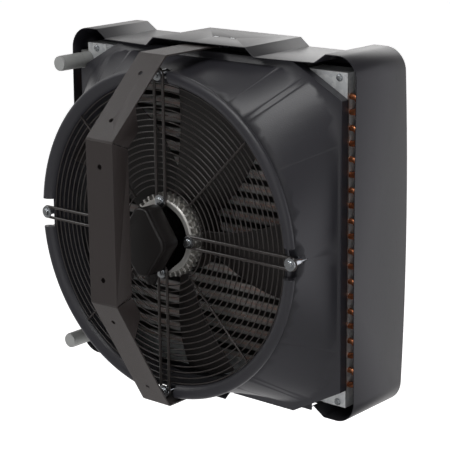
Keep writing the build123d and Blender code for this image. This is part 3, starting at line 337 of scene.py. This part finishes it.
def machine_black():
    """Black e-coat on pressed steel and castings."""
    paint = Paint("black_dip_coat")
    coat = paint.noise(420, 3, 0.6)
    dust = paint.noise(30, 5, 0.7)
    base = paint.mix(coat, (0.0120, 0.0098, 0.0095), (0.018, 0.0155, 0.015))
    colour = paint.mix(dust.between(0.55, 0.8) * 0.25, base, (0.035, 0.030, 0.028))
    rough = 0.34 + 0.16 * dust
    return paint.finish(base_color=colour, roughness=rough, normal=paint.bump(coat, 0.12, 0.0004))


def pipe_paint():
    """Mid-grey primer on the steel pipe stubs and manifolds."""
    paint = Paint("grey_pipe_primer")
    mottle = paint.noise(70, 5, 0.65)
    grain = paint.noise(1100, 2, 0.5)
    colour = paint.mix(mottle, (0.23, 0.235, 0.23), (0.32, 0.325, 0.315))
    rough = 0.42 + 0.16 * mottle
    return paint.finish(base_color=colour, roughness=rough, normal=paint.bump(grain, 0.15, 0.0003))


def cap_plastic():
    """Soft grey polythene of the transit caps."""
    paint = Paint("grey_cap_polythene")
    swirl = paint.noise(60, 3, 0.5, 1.2)
    grain = paint.noise(900, 2, 0.5)
    colour = paint.mix(swirl, (0.27, 0.275, 0.27), (0.34, 0.345, 0.34))
    rough = 0.40 + 0.12 * swirl
    return paint.finish(base_color=colour, roughness=rough, normal=paint.bump(grain, 0.1, 0.0003))


def bare_steel():
    """Ground bearing steel and laminations."""
    paint = Paint("ground_steel")
    line = paint.noise(900, 3, 0.6, 0.0, paint.stretched(1, 12, 1))
    colour = paint.mix(line, (0.38, 0.38, 0.38), (0.58, 0.58, 0.58))
    rough = 0.22 + 0.2 * line
    return paint.finish(base_color=colour, roughness=rough, metallic=1.0,
                        normal=paint.bump(line, 0.1, 0.0002))


def winding_enamel():
    """Varnished copper windings, wound round the motor's axis."""
    paint = Paint("varnished_windings")
    strand = paint.noise(700, 2, 0.5, 0.0, paint.stretched(1, 5, 1))
    colour = paint.mix(strand, (0.30, 0.09, 0.03), (0.55, 0.20, 0.08))
    rough = 0.25 + 0.2 * strand
    return paint.finish(base_color=colour, roughness=rough, metallic=0.6,
                        normal=paint.bump(strand, 0.4, 0.0005))


def rest_rubber():
    """Black rubber of the coil's rests."""
    paint = Paint("rest_rubber")
    grain = paint.noise(600, 4, 0.7)
    colour = paint.mix(grain, (0.012, 0.012, 0.012), (0.03, 0.03, 0.03))
    return paint.finish(base_color=colour, roughness=0.7 + 0.15 * grain,
                        normal=paint.bump(grain, 0.3, 0.0005))


finishes = {
    "casing_coat": casing_coat(),
    "louvre_coat": casing_coat(),
    "black_plastic": black_plastic(),
    "zinc": zinc_plate(),
    "galvanised": galvanised(),
    "fin_aluminium": fin_aluminium(),
    "copper": copper_tube(),
    "pipe_grey": pipe_paint(),
    "cap_grey": cap_plastic(),
    "rubber": rest_rubber(),
    "cowl_plastic": cowl_plastic(),
    "guard_wire": guard_wire(),
    "motor_black": machine_black(),
    "motor_aluminium": cast_aluminium(),
    "steel": bare_steel(),
    "winding_copper": winding_enamel(),
    "blade_black": machine_black(),
    "bracket_coat": bracket_coat(),
}
slot_of_node = {entry["node"]: entry["material_slot"] for entry in frame["record"]["subparts"]}

for name, node in nodes.items():
    for slot in node.material_slots:
        slot.material = finishes[slot_of_node[name]]


# ============================== pieces finished from the frame's shapes ==============================
def smoothed(mesh):
    for face in mesh.polygons:
        face.use_smooth = True


def new_piece(name, mesh, body, slot):
    """A piece of one material that rides its body."""
    piece = bpy.data.objects.new(name, mesh)
    bpy.context.scene.collection.objects.link(piece)
    mesh.materials.clear()
    mesh.materials.append(finishes[slot])
    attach(piece, body)
    return piece


def baked(piece):
    """The piece's mesh with its modifiers worked in; the modifiers are taken off."""
    bpy.context.view_layer.update()
    result = piece.evaluated_get(bpy.context.evaluated_depsgraph_get())
    mesh = bpy.data.meshes.new_from_object(result)
    piece.modifiers.clear()
    piece.data = mesh
    return mesh


crease_angle = math.radians(32.0)
flat_angle = math.radians(0.6)
weld_distance = 0.002 * millimetre


def eased(node, edge):
    """A copy of a frame node with joined faces, rounded edges and smooth shading; it replaces the node."""
    mesh = nodes[node].data.copy()
    work = bmesh.new()
    work.from_mesh(mesh)
    bmesh.ops.remove_doubles(work, verts=work.verts, dist=weld_distance)
    if edge:
        bmesh.ops.dissolve_limit(work, angle_limit=flat_angle, verts=work.verts, edges=work.edges)
    work.to_mesh(mesh)
    work.free()
    piece = new_piece(f"{node}_finished", mesh, body_of_node(node), slot_of_node[node])
    if edge:
        bevel = piece.modifiers.new("edges", "BEVEL")
        bevel.width = edge
        bevel.segments = 2
        bevel.limit_method = "ANGLE"
        bevel.angle_limit = crease_angle
        bevel.use_clamp_overlap = False
        baked(piece)
    smoothed(piece.data)
    piece.data.set_sharp_from_angle(angle=crease_angle)
    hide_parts(node)
    return piece


# width in millimetres of each replaced node's rounded edges; at nought it is only shaded smooth
edge_widths = {
    "casing_shell": 0.35, "front_frame": 0.4, "fan_cowl": 0.0, "cooling_ring": 0.4, "wall_bracket": 0.0,
    "tube_sheet_left": 0.0, "tube_sheet_right": 0.0, "coil_top_channel": 0.25, "coil_bottom_channel": 0.25,
    "terminal_box_base": 0.8, "terminal_box_lid": 0.8, "motor_flange": 0.5, "rotor_can": 0.35,
    "fan_blades": 0.3, "return_manifold": 0.4, "supply_manifold": 0.4, "pipe_plug_upper": 0.3,
    "pipe_plug_lower": 0.3, "gland_body": 0.3, "gland_nut": 0.3, "pivot_bolts": 0.4, "pivot_washers": 0.25,
    "pivot_spacers": 0.25, "guard_spacers": 0.3, "guard_washers": 0.25, "motor_washers": 0.25,
    "coil_tubes": 0.0, "return_bends_right": 0.0, "return_bends_left": 0.0,
    "guard_arms": 0.0, "guard_stays": 0.0, "guard_bolts": 0.3, "motor_bolts": 0.3, "coil_frame_screws": 0.3,
}
louvre_count = 8
for number in range(1, louvre_count + 1):
    edge_widths[f"louvre_{number}"] = 0.0
for node, edge in edge_widths.items():
    eased(node, edge * millimetre)


# ============================== repeated pieces, made with geometry nodes ==============================
class Recipe:
    """A geometry node group under construction; its inputs are set by identifier on the modifier."""

    def __init__(self, name):
        self.group = bpy.data.node_groups.new(name, "GeometryNodeTree")
        self.given = self.group.nodes.new("NodeGroupInput")
        self.settings = {}

    def ask(self, name, kind, setting):
        socket = self.group.interface.new_socket(name, in_out="INPUT", socket_type=kind)
        self.settings[socket.identifier] = setting
        return self.given.outputs[name]

    def node(self, kind, settings, inputs, output=0):
        made = self.group.nodes.new(kind)
        for key, setting in settings.items():
            setattr(made, key, setting)
        for key, given in inputs.items():
            if isinstance(given, bpy.types.NodeSocket):
                self.group.links.new(given, made.inputs[key])
            else:
                made.inputs[key].default_value = given
        return made.outputs[output]

    def piece(self, name, geometry, body, slot):
        """Works the recipe out into a plain mesh that rides its body."""
        painted = self.node("GeometryNodeSetMaterial", {}, {"Geometry": geometry, "Material": finishes[slot]})
        self.group.interface.new_socket("Geometry", in_out="OUTPUT", socket_type="NodeSocketGeometry")
        result = self.group.nodes.new("NodeGroupOutput")
        self.group.links.new(painted, result.inputs[0])
        made = bpy.data.objects.new(name, bpy.data.meshes.new(name))
        bpy.context.scene.collection.objects.link(made)
        modifier = made.modifiers.new(name, "NODES")
        modifier.node_group = self.group
        for identifier, setting in self.settings.items():
            modifier[identifier] = setting
        mesh = baked(made)
        bpy.data.objects.remove(made)
        return new_piece(name, mesh, body, slot)


def fin_plates():
    """The fin pack as separate thin plates, with the tubes' front just below their edges."""
    low, high = corners_of("fin_pack")
    pitch = 2.6 * millimetre
    thickness = 0.28 * millimetre
    size = high - low
    count = int((size.x - thickness) / pitch) + 1
    recipe = Recipe("fin_plates")
    total = recipe.ask("Plates", "NodeSocketInt", count)
    step = recipe.ask("Pitch", "NodeSocketFloat", pitch)
    offset = recipe.node("ShaderNodeCombineXYZ", {}, {"X": step})
    start = (low.x + thickness / 2, (low.y + high.y) / 2, (low.z + high.z) / 2)
    spacing = {"Count": total, "Start Location": start, "Offset": offset}
    line = recipe.node("GeometryNodeMeshLine", {}, spacing)
    plate = recipe.node("GeometryNodeMeshCube", {}, {"Size": (thickness, size.y, size.z)})
    plates = recipe.node("GeometryNodeInstanceOnPoints", {}, {"Points": line, "Instance": plate})
    solid = recipe.node("GeometryNodeRealizeInstances", {}, {"Geometry": plates})
    piece = recipe.piece("fin_plates", solid, body_of_node("fin_pack"), "fin_aluminium")
    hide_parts("fin_pack")


def guard_wires():
    """The guard's rings, drawn from one circle that grows by a step from ring to ring."""
    low, high = corners_of("guard_rings")
    wire = (high.y - low.y) / 2
    rings = 18
    first = 84.0 * millimetre
    last = (high.x - low.x) / 2 - wire
    steps_round = 160
    steps_round_wire = 10
    recipe = Recipe("guard_wires")
    total = recipe.ask("Rings", "NodeSocketInt", rings)
    step = recipe.ask("Step", "NodeSocketFloat", (last - first) / (rings - 1))
    centre = (low + high) / 2
    points = recipe.node("GeometryNodePoints", {}, {"Count": total, "Position": centre})
    number = recipe.node("GeometryNodeInputIndex", {}, {})
    growth = recipe.node("ShaderNodeMath", {"operation": "MULTIPLY"}, {0: number, 1: step})
    radius = recipe.node("ShaderNodeMath", {"operation": "ADD"}, {0: growth, 1: first})
    unit_circle = {"Resolution": steps_round, "Radius": 1.0}
    circle = recipe.node("GeometryNodeCurvePrimitiveCircle", {}, unit_circle)
    sockets = {"Points": points, "Instance": circle, "Rotation": (math.pi / 2, 0.0, 0.0), "Scale": radius}
    circles = recipe.node("GeometryNodeInstanceOnPoints", {}, sockets)
    lines = recipe.node("GeometryNodeRealizeInstances", {}, {"Geometry": circles})
    wire_circle = {"Resolution": steps_round_wire, "Radius": wire}
    section = recipe.node("GeometryNodeCurvePrimitiveCircle", {}, wire_circle)
    solid = recipe.node("GeometryNodeCurveToMesh", {}, {"Curve": lines, "Profile Curve": section})
    piece = recipe.piece("guard_wires", solid, body_of_node("guard_rings"), "guard_wire")
    smoothed(piece.data)
    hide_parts("guard_rings")


def foot_lip():
    """Rib across the cowl's foot that closes it against the coil, arched over the lower arm's pocket."""
    low, high = corners_of("fan_cowl")
    coil_low = corners_of("coil_bottom_channel")[0].z
    skin = 3.0 * millimetre
    arch_half = 56.0 * millimetre
    arch_top = low.z + 15.6 * millimetre
    half = 215.0 * millimetre
    gap_below_coil = 0.4 * millimetre
    gap_to_coil = 0.1 * millimetre
    foot = low.z + skin
    top = coil_low - gap_below_coil
    outline = [(-half, foot), (-arch_half, foot), (-arch_half, arch_top), (arch_half, arch_top),
               (arch_half, foot), (half, foot), (half, top), (-half, top)]
    work = bmesh.new()
    rear = [work.verts.new((x, high.y - skin, z)) for x, z in outline]
    front = [work.verts.new((x, high.y - gap_to_coil, z)) for x, z in outline]
    work.faces.new(rear)
    work.faces.new(reversed(front))
    for start in range(len(outline)):
        end = (start + 1) % len(outline)
        work.faces.new((rear[end], rear[start], front[start], front[end]))
    bmesh.ops.recalc_face_normals(work, faces=work.faces)
    mesh = bpy.data.meshes.new("foot_lip")
    work.to_mesh(mesh)
    work.free()
    new_piece("foot_lip", mesh, body_of_node("fan_cowl"), "cowl_plastic")


fin_plates()
guard_wires()
foot_lip()


# ============================== stage, light and camera ==============================
def stage_floor():
    """A pale floor well below the wall-hung unit."""
    paint = Paint("pale_floor")
    mottle = paint.noise(2, 2, 0.5)
    colour = paint.mix(mottle, (0.93, 0.93, 0.93), (0.96, 0.96, 0.96))
    paint.finish(base_color=colour, roughness=0.8, emission_color=(1.0, 1.0, 1.0, 1.0),
                 emission_strength=0.78)
    mesh = bpy.data.meshes.new("floor")
    drop = 0.45
    level = cad_low.z - drop
    reach = 12.0
    corners = [(-reach, -reach, level), (reach, -reach, level), (reach, reach, level), (-reach, reach, level)]
    mesh.from_pydata(corners, [], [(0, 1, 2, 3)])
    mesh.materials.append(paint.material)
    floor = bpy.data.objects.new("floor", mesh)
    bpy.context.scene.collection.objects.link(floor)
    floor.visible_glossy = False


def soft_light(name, place, size, power, aim, tint):
    """A rectangular lamp at its place, turned to its aim."""
    lamp = bpy.data.lights.new(name, "AREA")
    lamp.shape = "RECTANGLE"
    lamp.size, lamp.size_y = size
    lamp.energy = power
    lamp.color = tint
    light = bpy.data.objects.new(name, lamp)
    light.location = place
    light.rotation_mode = "QUATERNION"
    light.rotation_quaternion = (Vector(aim) - Vector(place)).to_track_quat("-Z", "Y")
    bpy.context.scene.collection.objects.link(light)


def studio_world():
    """A white wall behind the unit that falls off to a dim room on the camera's side."""
    world = bpy.data.worlds.new("studio_room")
    world.use_nodes = True
    tree = world.node_tree
    towards = tree.nodes.new("ShaderNodeTexCoord")
    across = tree.nodes.new("ShaderNodeVectorMath")
    across.operation = "DOT_PRODUCT"
    across.inputs[1].default_value = camera_ahead
    tree.links.new(towards.outputs["Generated"], across.inputs[0])
    fall = tree.nodes.new("ShaderNodeMapRange")
    fall.interpolation_type = "SMOOTHSTEP"
    spread = {"From Min": 0.25, "From Max": 0.9, "To Min": 0.16, "To Max": 1.02}
    for name, setting in spread.items():
        fall.inputs[name].default_value = setting
    tree.links.new(across.outputs["Value"], fall.inputs["Value"])
    tree.links.new(fall.outputs["Result"], tree.nodes["Background"].inputs["Strength"])
    tree.nodes["Background"].inputs["Color"].default_value = (1.0, 0.99, 0.98, 1.0)
    bpy.context.scene.world = world


# camera: its place, the way it looks, and its lens
camera_place = Vector((1.7292, -1.7258, 0.6368))
camera_turn = math.radians(40.5)
camera_drop = math.radians(14.73)
camera_roll = math.radians(-0.71)
camera_lens = 128.34
camera_ahead = Vector((-math.sin(camera_turn) * math.cos(camera_drop),
                       math.cos(camera_turn) * math.cos(camera_drop), -math.sin(camera_drop)))


def studio_camera():
    """The camera at its place, level but for its small roll."""
    data = bpy.data.cameras.new("camera")
    data.sensor_width = 36.0
    data.lens = camera_lens
    data.clip_start = 0.05
    data.clip_end = 60.0
    ahead = camera_ahead
    level = ahead.cross(Vector((0, 0, 1))).normalized()
    up = level.cross(ahead)
    right = level * math.cos(camera_roll) + up * math.sin(camera_roll)
    top = -level * math.sin(camera_roll) + up * math.cos(camera_roll)
    camera = bpy.data.objects.new("camera", data)
    camera.matrix_world = Matrix((
        (right.x, top.x, -ahead.x, camera_place.x),
        (right.y, top.y, -ahead.y, camera_place.y),
        (right.z, top.z, -ahead.z, camera_place.z),
        (0, 0, 0, 1)))
    bpy.context.scene.collection.objects.link(camera)
    bpy.context.scene.camera = camera


unit_middle = (cad_low + cad_high) / 2


def softbox(name, direction, reach, size, radiance, tint=(1.0, 1.0, 1.0)):
    """A soft light that far from the unit's middle, as bright as its radiance says at any size."""
    place = unit_middle + Vector(direction).normalized() * reach
    soft_light(name, place, size, radiance * math.pi * size[0] * size[1], unit_middle, tint)


stage_floor()
studio_world()
softbox("overhead", (0.30, -0.25, 1.0), 2.0, (1.2, 0.9), 4.6)
softbox("upper_left", (-0.63, -0.34, 0.66), 2.4, (1.0, 1.0), 3.4)
softbox("right_wall", (0.75, 0.68, -0.05), 2.8, (2.0, 3.0), 0.75, (0.95, 0.94, 1.0))
softbox("behind_camera", (0.45, -1.0, 0.25), 3.2, (2.4, 2.4), 0.55)
softbox("room_front", (-0.3, 1.0, 0.5), 3.0, (2.0, 2.0), 0.9)
bpy.context.scene.view_settings.view_transform = "Standard"
studio_camera()
